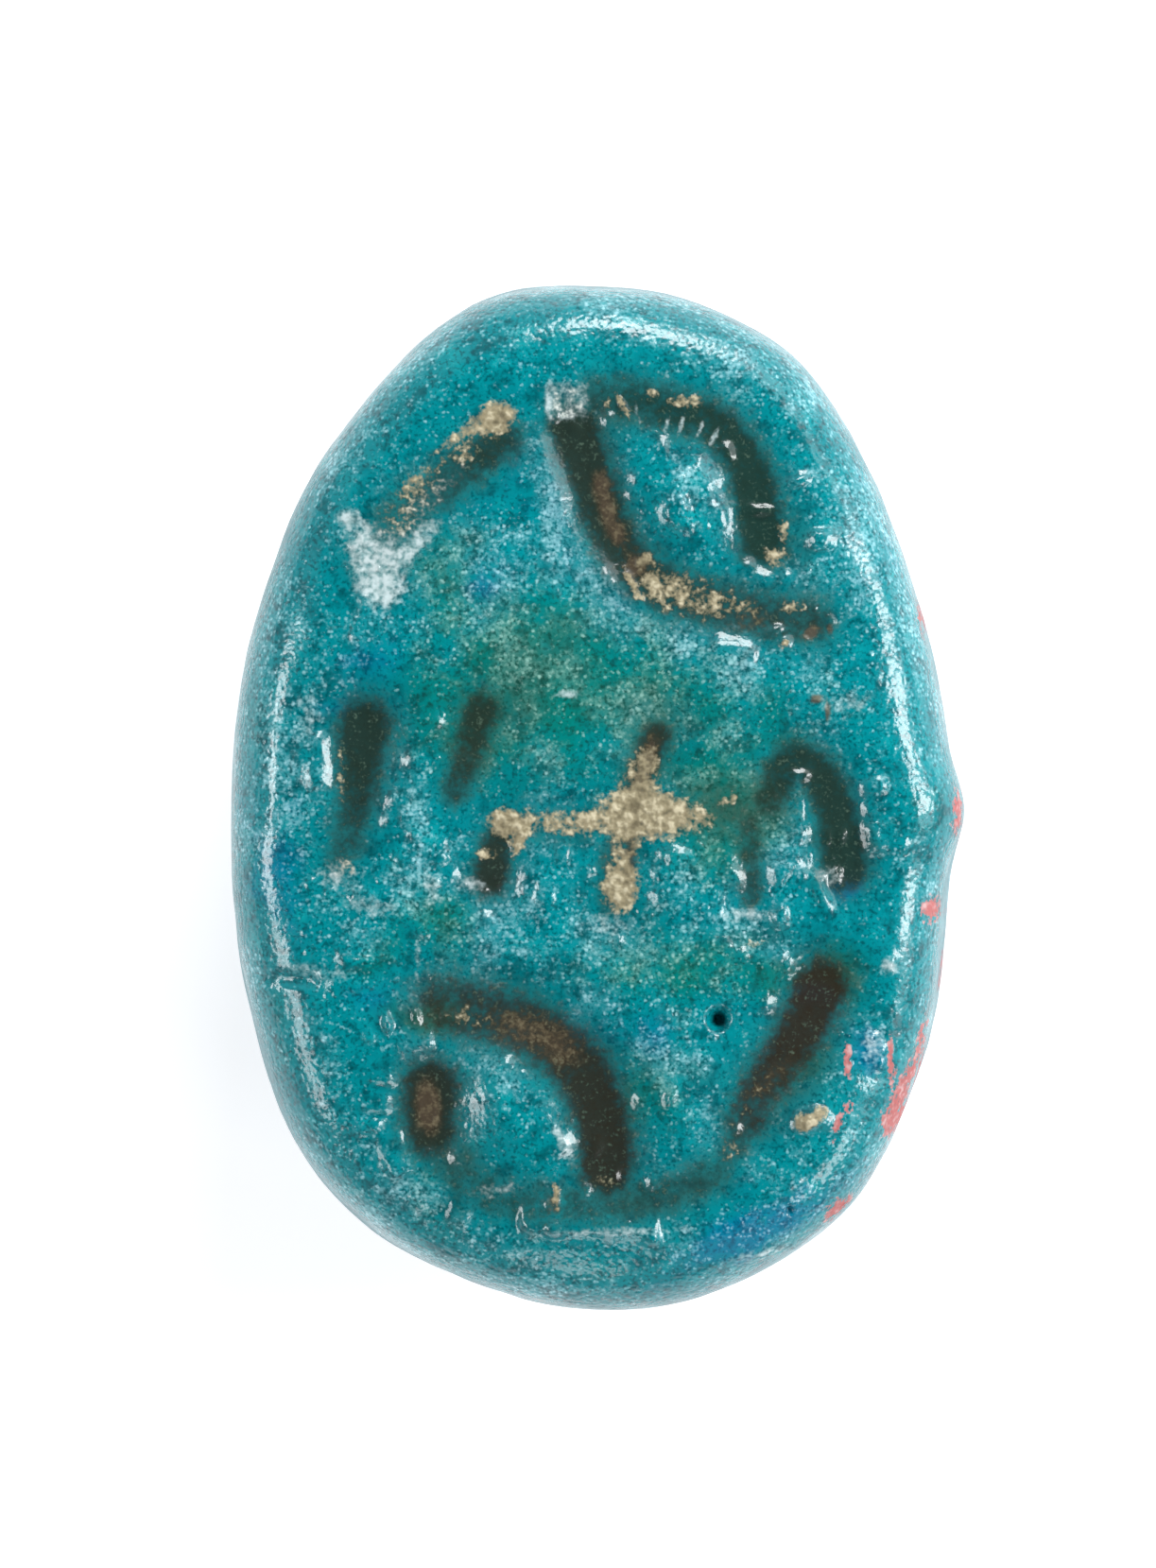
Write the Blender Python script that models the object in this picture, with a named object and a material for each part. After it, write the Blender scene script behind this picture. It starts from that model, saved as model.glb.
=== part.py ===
# Oval stamp seal of glazed faience: a pebble-shaped scaraboid, lying on its domed back.
# The stamping face looks up (+Z), the long axis runs along Y, the origin is under the middle of the seal.
# Everything is in metres.

import math

import bpy
import bmesh
from mathutils import Vector

MM = 0.001

# Overall size of the seal
seal_length = 14.0 * MM
seal_width = 9.81 * MM
seal_height = 6.0 * MM

# How the pebble is shaped
widest_level = 3.2 * MM  # height of the widest line above the resting spot
face_fullness = 6.0  # superellipse power of the face side: higher is flatter with a tighter shoulder
back_fullness = 2.3  # superellipse power of the domed back
outline_fullness = 2.2  # superellipse power of the oval seen from above
egg_share = 0.065  # how much narrower the upper end is than the lower one
resting_depth = 0.12 * MM  # slice taken off the dome, so that the seal lies still

# Swells (+) and flats (-) left by the hand that pressed the paste: direction in degrees, height, half spread
hand_swells = (
    (-2, 0.18 * MM, 6.5),
    (42, -0.07 * MM, 14),
    (66, 0.07 * MM, 7),
    (101, 0.07 * MM, 7),
    (121, -0.08 * MM, 9),
    (163, 0.08 * MM, 20),
    (230, 0.07 * MM, 10),
    (257, -0.13 * MM, 11),
    (303, 0.10 * MM, 9),
    (343, -0.12 * MM, 15),
)

# The hole for a thread, from end to end
thread_hole_diameter = 1.3 * MM

# The carving: every stroke is a rounded groove
groove_width = 0.60 * MM
groove_depth = 0.36 * MM

# Mesh fineness
steps_around = 88
steps_over = 36
steps_per_span = 3
groove_sides = 12
hole_sides = 24
hole_overrun = 1.0 * MM  # how far the hole's cutter passes both ends

# Each stroke: (across, along) points as shares of the half width and half length,
# width at its start and end, and depth, as shares of groove_width and groove_depth
carved_strokes = {
    "upper_left_bar": (
        ((-0.26, 0.75), (-0.38, 0.68), (-0.49, 0.59), (-0.56, 0.51), (-0.64, 0.40)), 0.75, 1.10, 0.7),
    "upper_ring_inner_limb": (
        ((-0.08, 0.77), (-0.04, 0.66), (0.03, 0.53), (0.13, 0.43), (0.27, 0.38), (0.44, 0.345), (0.63, 0.33)),
        1.00, 0.85, 1.0),
    "upper_ring_outer_limb": (
        ((-0.08, 0.78), (0.08, 0.78), (0.22, 0.76), (0.34, 0.71), (0.43, 0.62), (0.49, 0.52), (0.53, 0.455)),
        1.00, 1.05, 1.0),
    "upper_ring_dot": (((0.269, 0.575), (0.269, 0.573)), 0.42, 0.42, 0.5),
    "left_bar": (((-0.645, 0.15), (-0.65, 0.07), (-0.68, -0.03), (-0.72, -0.13)), 1.15, 0.60, 1.0),
    "second_bar": (((-0.32, 0.19), (-0.355, 0.10), (-0.375, 0.0)), 0.80, 0.55, 0.7),
    "second_bar_foot": (((-0.24, -0.04), (-0.29, -0.11), (-0.33, -0.16)), 0.80, 0.95, 1.0),
    "crossbar": (
        ((-0.25, -0.045), (-0.08, -0.05), (0.10, -0.035), (0.29, -0.02), (0.48, 0.0)), 1.00, 0.85, 0.8),
    "middle_upright": (
        ((0.165, 0.12), (0.12, 0.04), (0.085, -0.04), (0.06, -0.12), (0.04, -0.21)), 0.80, 0.90, 0.9),
    "third_upright": (((0.42, -0.06), (0.405, -0.13), (0.405, -0.19)), 0.55, 0.50, 0.5),
    "right_hook_foot": (((0.50, 0.0), (0.53, 0.045), (0.56, 0.08)), 0.70, 0.80, 0.7),
    "right_hook_limb": (((0.565, 0.085), (0.62, 0.04), (0.66, -0.04), (0.685, -0.14)), 0.85, 1.05, 1.0),
    "lower_ring_outer_limb": (
        ((-0.46, -0.40), (-0.34, -0.40), (-0.22, -0.42), (-0.12, -0.47), (-0.04, -0.55),
         (0.01, -0.64), (0.02, -0.72)),
        1.05, 1.05, 1.0),
    "lower_ring_pit": (((-0.455, -0.55), (-0.465, -0.61), (-0.47, -0.67)), 1.15, 1.00, 1.2),
    "lower_ring_floor": (
        ((-0.44, -0.70), (-0.36, -0.76), (-0.23, -0.795), (-0.07, -0.795), (0.08, -0.78),
         (0.20, -0.765), (0.32, -0.73)),
        0.90, 0.80, 0.6),
    "lower_right_bar": (
        ((0.64, -0.385), (0.575, -0.46), (0.51, -0.53), (0.44, -0.60), (0.39, -0.67)), 0.95, 0.95, 1.1),
}

# Rounding of a groove's ends, as shares of its half width: how far past the last point, and the size there
end_rounding = ((0.45, 0.89), (0.80, 0.60))
end_tip = 1.0

# Derived sizes
half_length = seal_length / 2
half_width = seal_width / 2
face_rise = seal_height - widest_level
back_drop = widest_level + resting_depth
lump_height = hand_swells[0][1]
side_shift = -lump_height / 4  # keeps the box centred, with the lump on the right counted in


def clear_scene():
    for obj in list(bpy.data.objects):
        bpy.data.objects.remove(obj)


def outline_radius(angle):
    # Distance from the middle to the outline this way: an egg-shaped superellipse with the swells added.
    cosine, sine = math.cos(angle), math.sin(angle)
    power = outline_fullness
    oval = ((abs(cosine) / half_width) ** power + (abs(sine) / half_length) ** power) ** (-1 / power)
    radius = oval * (1 - egg_share * sine * cosine * cosine)
    for direction, height, spread in hand_swells:
        away = (math.degrees(angle) - direction + 180) % 360 - 180
        radius += height * math.exp(-((away / spread) ** 2))
    return radius


def face_level(x, y):
    # Height of the uncut face above the resting spot.
    across = x - side_shift
    share = min(1.0, math.hypot(across, y) / outline_radius(math.atan2(y, across)))
    return widest_level + face_rise * (1 - share**face_fullness) ** (1 / face_fullness)


def glazed_faience():
    # Turquoise alkaline glaze over a quartz paste: glossy, with no metal in it.
    material = bpy.data.materials.new("turquoise_faience")
    material.use_nodes = True
    shader = material.node_tree.nodes["Principled BSDF"]
    shader.inputs["Base Color"].default_value = (0.03, 0.27, 0.29, 1.0)
    shader.inputs["Roughness"].default_value = 0.25
    shader.inputs["Metallic"].default_value = 0.0
    return material


def add_object(name, mesh_maker):
    bm = bmesh.new()
    mesh_maker(bm)
    bmesh.ops.recalc_face_normals(bm, faces=bm.faces)
    mesh = bpy.data.meshes.new(name)
    bm.to_mesh(mesh)
    bm.free()
    obj = bpy.data.objects.new(name, mesh)
    bpy.context.scene.collection.objects.link(obj)
    return obj


def pebble(bm):
    # A sphere whose points are moved out to the oval outline, the full face above and the dome below.
    bmesh.ops.create_uvsphere(bm, u_segments=steps_around, v_segments=steps_over, radius=1.0)
    for vert in bm.verts:
        flat = math.hypot(vert.co.x, vert.co.y)
        angle = math.atan2(vert.co.y, vert.co.x)
        above = vert.co.z >= 0
        power = face_fullness if above else back_fullness
        reach = flat ** (2 / power) * outline_radius(angle)
        rise = abs(vert.co.z) ** (2 / power)
        level = widest_level + (face_rise * rise if above else -back_drop * rise)
        vert.co = (side_shift + reach * math.cos(angle), reach * math.sin(angle), max(level, 0.0))


def smooth_path(points):
    # Points along a Catmull-Rom curve through the given ones.
    ends = [2 * points[0] - points[1], *points, 2 * points[-1] - points[-2]]
    path = []
    for before, start, stop, after in zip(ends, ends[1:], ends[2:], ends[3:]):
        for step in range(steps_per_span):
            t = step / steps_per_span
            path.append(0.5 * (2 * start + (stop - before) * t
                               + (2 * before - 5 * start + 4 * stop - after) * t**2
                               + (3 * start - before - 3 * stop + after) * t**3))
    return [*path, points[-1]]


def groove_sections(path, start_width, end_width):
    # (centre, direction, half width, size share) along the groove, with its two round ends.
    last = len(path) - 1
    sections = []
    for index, point in enumerate(path):
        ahead = (path[min(index + 1, last)] - path[max(index - 1, 0)]).normalized()
        half = (start_width + (end_width - start_width) * index / last) / 2
        sections.append((point, ahead, half, 1.0))
    first_point, first_ahead, first_half, _ = sections[0]
    last_point, last_ahead, last_half, _ = sections[-1]
    for past, size in end_rounding:
        sections.insert(0, (first_point - first_ahead * first_half * past, first_ahead, first_half, size))
        sections.append((last_point + last_ahead * last_half * past, last_ahead, last_half, size))
    tips = (first_point - first_ahead * first_half * end_tip, last_point + last_ahead * last_half * end_tip)
    return sections, tips


def groove_cutter(bm, points, start_width, end_width, depth):
    # A worm of oval section, half sunk in the face, so that what it cuts is a round-bottomed groove.
    path = smooth_path([Vector((u * half_width, v * half_length, 0)) for u, v in points])
    sections, tips = groove_sections(path, start_width, end_width)
    rings = []
    for centre, ahead, half, size in sections:
        side = Vector((-ahead.y, ahead.x, 0))
        level = face_level(centre.x, centre.y)
        ring = []
        for step in range(groove_sides):
            turn = 2 * math.pi * (step + 0.5) / groove_sides
            place = centre + side * (half * size * math.cos(turn))
            place.z = level + depth * size * math.sin(turn)
            ring.append(bm.verts.new(place))
        rings.append(ring)
    for ring, following in zip(rings, rings[1:]):
        for step in range(groove_sides):
            after = (step + 1) % groove_sides
            bm.faces.new((ring[step], ring[after], following[after], following[step]))
    for ring, tip in ((rings[0], tips[0]), (rings[-1], tips[1])):
        peak = bm.verts.new((tip.x, tip.y, face_level(tip.x, tip.y)))
        for step in range(groove_sides):
            bm.faces.new((ring[step], ring[(step + 1) % groove_sides], peak))


def hole_cutter(bm):
    # A round rod along Y through the widest level.
    rod_length = seal_length + 2 * hole_overrun
    bmesh.ops.create_cone(bm, cap_ends=True, segments=hole_sides, radius1=thread_hole_diameter / 2,
                          radius2=thread_hole_diameter / 2, depth=rod_length)
    for vert in bm.verts:
        vert.co = (vert.co.x, vert.co.z, vert.co.y + widest_level)


def cut_away(body, cutter):
    cutter.hide_render = True
    cutter.display_type = "WIRE"
    boolean = body.modifiers.new(cutter.name, "BOOLEAN")
    boolean.operation = "DIFFERENCE"
    boolean.solver = "EXACT"
    boolean.object = cutter


def build_seal():
    seal = add_object("stamp_seal", pebble)
    seal.data.materials.append(glazed_faience())
    seal.data.shade_smooth()
    seal.data.set_sharp_from_angle(angle=math.radians(40))
    cut_away(seal, add_object("thread_hole_cutter", hole_cutter))
    for name, (points, start_share, end_share, depth_share) in carved_strokes.items():
        def mesh_maker(bm):
            groove_cutter(bm, points, start_share * groove_width, end_share * groove_width,
                          depth_share * groove_depth)
        cut_away(seal, add_object(name + "_cutter", mesh_maker))
    return seal


clear_scene()
build_seal()
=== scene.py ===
# Looks of the oval stamp seal: turquoise glazed faience with a carved face, lying face up on a pale table.
# Shapes are worked out in millimetres and written into the meshes in metres.
import math

import bpy
import numpy as np
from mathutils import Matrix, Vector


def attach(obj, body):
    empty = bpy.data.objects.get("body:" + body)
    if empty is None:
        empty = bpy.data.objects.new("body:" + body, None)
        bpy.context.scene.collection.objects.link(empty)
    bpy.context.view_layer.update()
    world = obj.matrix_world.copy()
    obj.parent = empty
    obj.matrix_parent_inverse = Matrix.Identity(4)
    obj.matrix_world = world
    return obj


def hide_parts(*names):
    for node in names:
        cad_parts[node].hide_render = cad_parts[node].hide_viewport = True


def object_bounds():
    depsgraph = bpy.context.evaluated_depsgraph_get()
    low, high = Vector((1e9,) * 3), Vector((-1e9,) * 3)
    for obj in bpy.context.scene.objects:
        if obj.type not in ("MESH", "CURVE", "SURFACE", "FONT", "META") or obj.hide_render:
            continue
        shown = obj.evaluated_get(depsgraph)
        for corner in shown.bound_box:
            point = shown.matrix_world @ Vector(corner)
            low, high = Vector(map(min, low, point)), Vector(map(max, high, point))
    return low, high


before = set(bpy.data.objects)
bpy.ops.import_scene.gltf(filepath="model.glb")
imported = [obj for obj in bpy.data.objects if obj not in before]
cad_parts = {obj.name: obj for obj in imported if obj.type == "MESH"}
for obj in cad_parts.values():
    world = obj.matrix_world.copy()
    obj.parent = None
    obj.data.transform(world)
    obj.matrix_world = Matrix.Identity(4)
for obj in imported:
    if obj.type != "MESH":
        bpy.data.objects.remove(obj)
cadBox = [list(corner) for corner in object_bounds()]
mm = 0.001
print("frame loaded")


# The pebble

seal = {  # millimetres; the same form as the solid's
    "length": 14.0,
    "width": 9.81,
    "height": cadBox[1][2] / mm,
    "widestLevel": 3.2,
    "restingDepth": 0.12,  # slice missing under the dome, where the seal lies
    "faceFullness": 6.0,
    "backFullness": 2.3,
    "outlineFullness": 2.2,
    "eggShare": 0.065,
    "holeDiameter": 1.3,
    "holeRounding": 0.16,
    "swells": (  # direction in degrees, height, half spread in degrees
        (-2, 0.18, 6.5), (42, -0.07, 14), (66, 0.07, 7), (101, 0.07, 7), (121, -0.08, 9),
        (163, 0.08, 20), (230, 0.07, 10), (257, -0.13, 11), (303, 0.10, 9), (343, -0.12, 15),
    ),
    "waviness": ((2.6, 0.045), (1.1, 0.018), (0.42, 0.008), (0.2, 0.003)),  # size, height of the hand's waves
}
halfWidth, halfLength = seal["width"] / 2, seal["length"] / 2
faceRise = seal["height"] - seal["widestLevel"]
backDrop = seal["widestLevel"] + seal["restingDepth"]
sideShift = -seal["swells"][0][1] / 4  # keeps the box centred, with the lump on the right counted in

meshFineness = {"faceColumns": 224, "sideColumns": 36, "backColumns": 24, "bodyRows": 244, "endRows": 23,
                "mouthRows": 4, "tunnelRows": 9}


def outlineRadius(angle):
    # Superellipse radius, narrowed towards the upper end, plus a bell curve for each swell.
    c, s = np.cos(angle), np.sin(angle)
    power = seal["outlineFullness"]
    oval = (np.abs(c / halfWidth) ** power + np.abs(s / halfLength) ** power) ** (-1 / power)
    radius = oval * (1 - seal["eggShare"] * s * c * c)
    for direction, height, spread in seal["swells"]:
        away = (np.degrees(angle) - direction + 180) % 360 - 180
        radius = radius + height * np.exp(-((away / spread) ** 2))
    return radius


def ontoPebble(box):
    # A ray from the middle through a box point meets the pebble at t = (A^p + B^p)^(-1/p). A is the point's
    # distance from the axis over the outline radius, B its rise over that side's height, p that side's
    # fullness.
    x, y, z = box
    above = z >= 0
    power = np.where(above, seal["faceFullness"], seal["backFullness"])
    a = np.hypot(x, y) / outlineRadius(np.arctan2(y, x))
    b = np.abs(z) / np.where(above, faceRise, backDrop)
    t = (a ** power + b ** power) ** (-1 / power)
    return np.stack((x * t + sideShift, y * t, np.maximum(z * t + seal["widestLevel"], 0)), -1)


def ringOfColumns():
    # Once round the cross-section's box, seen from the lower end: across the face, down, under and up.
    across = np.linspace(-1, 1, meshFineness["faceColumns"], endpoint=False) * halfWidth
    down = np.linspace(0, 1, meshFineness["sideColumns"], endpoint=False)
    side = faceRise - down * (faceRise + backDrop)
    under = -np.linspace(-1, 1, meshFineness["backColumns"], endpoint=False) * halfWidth
    x = np.concatenate((across, np.full_like(side, halfWidth), under, np.full_like(side, -halfWidth)))
    z = np.concatenate((np.full_like(across, faceRise), side, np.full_like(under, -backDrop),
                        -(side - faceRise) - backDrop))
    return x, z


def pebbleGrid():
    # Rows run from end to end over the body, in over one end to the hole, through it and out over the other.
    x, z = ringOfColumns()
    turn = np.arctan2(z, x)
    holeRadius, rounding = seal["holeDiameter"] / 2, seal["holeRounding"]
    mouth = holeRadius + rounding
    rows = np.linspace(-1, 1, meshFineness["bodyRows"])[:, None] * halfLength
    body = ontoPebble((x + 0 * rows, rows + 0 * x, z + 0 * rows))
    inward = np.linspace(0, 1, meshFineness["endRows"] + 1)[1:, None]
    endX = x * (1 - inward) + np.cos(turn) * mouth * inward
    endZ = z * (1 - inward) + np.sin(turn) * mouth * inward
    ends = [ontoPebble((endX, np.full_like(endX, side * halfLength), endZ)) for side in (1, -1)]
    bend = np.linspace(0, math.pi / 2, meshFineness["mouthRows"] + 1)[1:, None]
    mouths = []
    for side, end in zip((1, -1), ends):  # the mouth's edge turns a quarter round into the hole
        radius = mouth - rounding * np.sin(bend)
        y = end[-1, :, 1] - side * rounding * (1 - np.cos(bend))
        mouths.append(np.stack((sideShift + np.cos(turn) * radius, y + 0 * radius,
                                seal["widestLevel"] + np.sin(turn) * radius), -1))
    through = np.linspace(0, 1, meshFineness["tunnelRows"] + 2)[1:-1, None, None]
    tunnel = mouths[0][-1] * (1 - through) + mouths[1][-1] * through
    return np.concatenate((body, ends[0], mouths[0], tunnel, mouths[1][::-1], ends[1][::-1]))


def gridNormals(grid):
    # Cross product of the steps to the neighbours on both sides, round and along.
    around = np.roll(grid, -1, 1) - np.roll(grid, 1, 1)
    along = np.roll(grid, -1, 0) - np.roll(grid, 1, 0)
    normal = np.cross(around, along)
    return normal / np.maximum(np.linalg.norm(normal, axis=-1, keepdims=True), 1e-9)


cubeOffset = 1000  # keeps every cube's number above zero
cubeKeys = np.array((73856093, 19349663, 83492791), np.uint64)  # large primes that tell the cubes apart
scramblers = np.array((0x9E3779B97F4A7C15, 0xBF58476D1CE4E5B9), np.uint64)  # these mix a key's bits


def smoothNoise(points, cell, seed):
    # Random numbers at the corners of cubes this size, blended by 3s^2 - 2s^3 along each side; from -1 to 1.
    # A corner's number is the top 53 bits of its scrambled key.
    place = points / cell + cubeOffset
    base = np.floor(place)
    share = place - base
    share = share * share * (3 - 2 * share)
    total = np.zeros(points.shape[:-1])
    for corner in np.ndindex(2, 2, 2):
        key = (base + corner).astype(np.uint64) @ cubeKeys
        key = (key + np.uint64(seed)) * scramblers[0]
        key = (key ^ (key >> np.uint64(29))) * scramblers[1]
        value = (key >> np.uint64(11)).astype(float) / 2 ** 53
        total += value * np.prod(np.where(corner, share, 1 - share), -1)
    return total * 2 - 1


def layeredNoise(points, layers, seed):
    # Sum of height times noise over the layers, each (size, height).
    return sum(height * smoothNoise(points, size, seed + number)
               for number, (size, height) in enumerate(layers))


def fade(value, start, end):
    # 0 before start, 1 after end, and an S curve between them.
    s = np.clip((value - start) / (end - start), 0, 1)
    return s * s * (3 - 2 * s)


# The carving

carving = {
    # path: places as shares of the half width and half length. width of the dark floor and depth of the dip,
    # in millimetres, at start and end. dark: how much dark glaze has pooled, at start and end. brown: its
    # tone, from green (0) to brown (1).
    "upperLeftBar": dict(
        path=((-0.265, 0.70), (-0.324, 0.671), (-0.458, 0.601), (-0.54, 0.55), (-0.61, 0.47)),
        width=(0.56, 0.76), depth=(0.18, 0.12), dark=(0.74, 0.46), brown=0.3),
    "upperRingInnerLimb": dict(
        path=((-0.065, 0.725), (-0.04, 0.67), (0.0, 0.59), (0.055, 0.5), (0.13, 0.435), (0.26, 0.392),
              (0.44, 0.362), (0.6, 0.35)),
        width=(0.60, 0.64), depth=(0.24, 0.16), dark=(1.0, 0.60), brown=0.45),
    "upperRingOuterLimb": dict(
        path=((0.02, 0.785), (0.1, 0.78), (0.2, 0.762), (0.32, 0.735), (0.41, 0.67), (0.448, 0.58),
              (0.465, 0.5)),
        width=(0.62, 0.58), depth=(0.14, 0.24), dark=(0.62, 1.0), brown=0.1),
    "leftBar": dict(
        path=((-0.648, 0.14), (-0.656, 0.08), (-0.668, 0.0), (-0.695, -0.08), (-0.725, -0.125)),
        width=(0.66, 0.46), depth=(0.24, 0.14), dark=(1.0, 0.45), brown=0.3),
    "secondBar": dict(
        path=((-0.322, 0.17), (-0.352, 0.10), (-0.385, 0.02)),
        width=(0.48, 0.46), depth=(0.17, 0.10), dark=(0.84, 0.62), brown=0.4),
    "secondBarFoot": dict(
        path=((-0.27, -0.08), (-0.287, -0.12), (-0.30, -0.155)),
        width=(0.42, 0.46), depth=(0.20, 0.22), dark=(0.8, 0.95), brown=0.55),
    "crossbar": dict(
        path=((-0.25, -0.045), (-0.08, -0.05), (0.10, -0.035), (0.29, -0.02), (0.50, -0.005)),
        width=(0.50, 0.60), depth=(0.16, 0.12), dark=(0.38, 0.42), brown=0.3),
    "middleUpright": dict(
        path=((0.165, 0.12), (0.12, 0.04), (0.085, -0.04), (0.06, -0.12), (0.05, -0.20)),
        width=(0.42, 0.48), depth=(0.18, 0.20), dark=(0.8, 0.5), brown=0.6),
    "thirdUpright": dict(
        path=((0.425, -0.05), (0.425, -0.12), (0.43, -0.19)),
        width=(0.36, 0.32), depth=(0.12, 0.10), dark=(0.58, 0.62), brown=0.3),
    "rightHook": dict(
        path=((0.485, 0.0), (0.515, 0.055), (0.56, 0.075), (0.615, 0.05), (0.66, -0.01), (0.685, -0.08),
              (0.693, -0.13)),
        width=(0.46, 0.62), depth=(0.14, 0.22), dark=(0.74, 0.95), brown=0.2),
    "lowerRingOuterLimb": dict(
        path=((-0.42, -0.4), (-0.27, -0.425), (-0.142, -0.466), (-0.04, -0.53), (0.008, -0.61),
              (0.025, -0.69), (0.025, -0.72)),
        width=(0.90, 0.62), depth=(0.20, 0.26), dark=(0.62, 1.05), brown=0.85),
    "lowerRingPit": dict(
        path=((-0.462, -0.565), (-0.468, -0.61), (-0.466, -0.65)),
        width=(0.70, 0.64), depth=(0.26, 0.24), dark=(1.0, 0.95), brown=0.6),
    "lowerRingFloor": dict(
        path=((-0.42, -0.7), (-0.35, -0.755), (-0.23, -0.785), (-0.07, -0.79), (0.08, -0.785),
              (0.2, -0.765), (0.32, -0.73)),
        width=(0.66, 0.56), depth=(0.14, 0.12), dark=(0.46, 0.52), brown=0.15),
    "lowerRightBar": dict(
        path=((0.63, -0.365), (0.577, -0.446), (0.506, -0.518), (0.448, -0.579), (0.42, -0.625)),
        width=(0.68, 0.62), depth=(0.26, 0.20), dark=(1.0, 0.66), brown=1.0),
    "lowerRightTail": dict(
        path=((0.40, -0.66), (0.36, -0.70), (0.32, -0.735)),
        width=(0.40, 0.40), depth=(0.08, 0.06), dark=(0.60, 0.40), brown=0.3),
}
dipSpread = 0.38  # how far a dip reaches beyond its dark floor, in millimetres
dipJoining = 4  # power that joins two dips where they cross
poolReach, poolEdge = 1.15, 3.2  # half-dark place as a share of the floor's half width, and how sharp it is


def smoothPath(points, steps=6):
    # Catmull-Rom curve through the points.
    p = np.array(points, float)
    p = np.vstack((2 * p[0] - p[1], p, 2 * p[-1] - p[-2]))
    t = (np.arange(steps) / steps)[:, None]
    spans = [0.5 * (2 * b + (c - a) * t + (2 * a - 5 * b + 4 * c - d) * t**2 + (3 * b - a - 3 * c + d) * t**3)
             for a, b, c, d in zip(p, p[1:], p[2:], p[3:])]
    return np.vstack((*spans, p[-2:-1]))


def alongPath(x, y, path):
    # Distance to the path, positive on its left, and the nearest point's share of the path's length.
    best, signed, share = np.full(x.shape, 1e9), np.zeros(x.shape), np.zeros(x.shape)
    lengths = np.linalg.norm(np.diff(path, axis=0), axis=1)
    before = np.concatenate(((0,), np.cumsum(lengths)))
    for start, end, length, gone in zip(path, path[1:], lengths, before):
        step = (end - start) / length
        t = np.clip((x - start[0]) * step[0] + (y - start[1]) * step[1], 0, length)
        dx, dy = x - start[0] - step[0] * t, y - start[1] - step[1] * t
        distance = np.hypot(dx, dy)
        nearer = distance < best
        best = np.where(nearer, distance, best)
        signed = np.where(nearer, distance * np.sign(step[0] * dy - step[1] * dx), signed)
        share = np.where(nearer, (gone + t) / before[-1], share)
    return signed, share


def between(ends, share):
    return ends[0] + (ends[1] - ends[0]) * share


def carve(x, y):
    # Each stroke is a dip D e^-(d / s)^2, s a little over its half width, filled by glaze into soft slopes.
    # Crossing dips are joined by the fourth root of the sum of fourth powers. Dark glaze pools as
    # 1 / (1 + (d / w)^3.2). Returns the dip, the darkness and its brownness.
    deep, dark, brown = np.zeros(x.shape), np.zeros(x.shape), np.zeros(x.shape)
    weight = np.full(x.shape, 1e-4)  # a trace, so that it divides where nothing has pooled
    for stroke in carving.values():
        distance, share = alongPath(x, y, smoothPath(np.array(stroke["path"]) * (halfWidth, halfLength)))
        half = between(stroke["width"], share) / 2
        dip = between(stroke["depth"], share) * np.exp(-((distance / (half + dipSpread)) ** 2))
        deep += dip ** dipJoining
        stain = between(stroke["dark"], share) / (1 + np.abs(distance / half / poolReach) ** poolEdge)
        dark = np.maximum(dark, stain)
        brown += stroke["brown"] * stain ** 2
        weight += stain ** 2
    return deep ** (1 / dipJoining), dark, brown / weight


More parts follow.
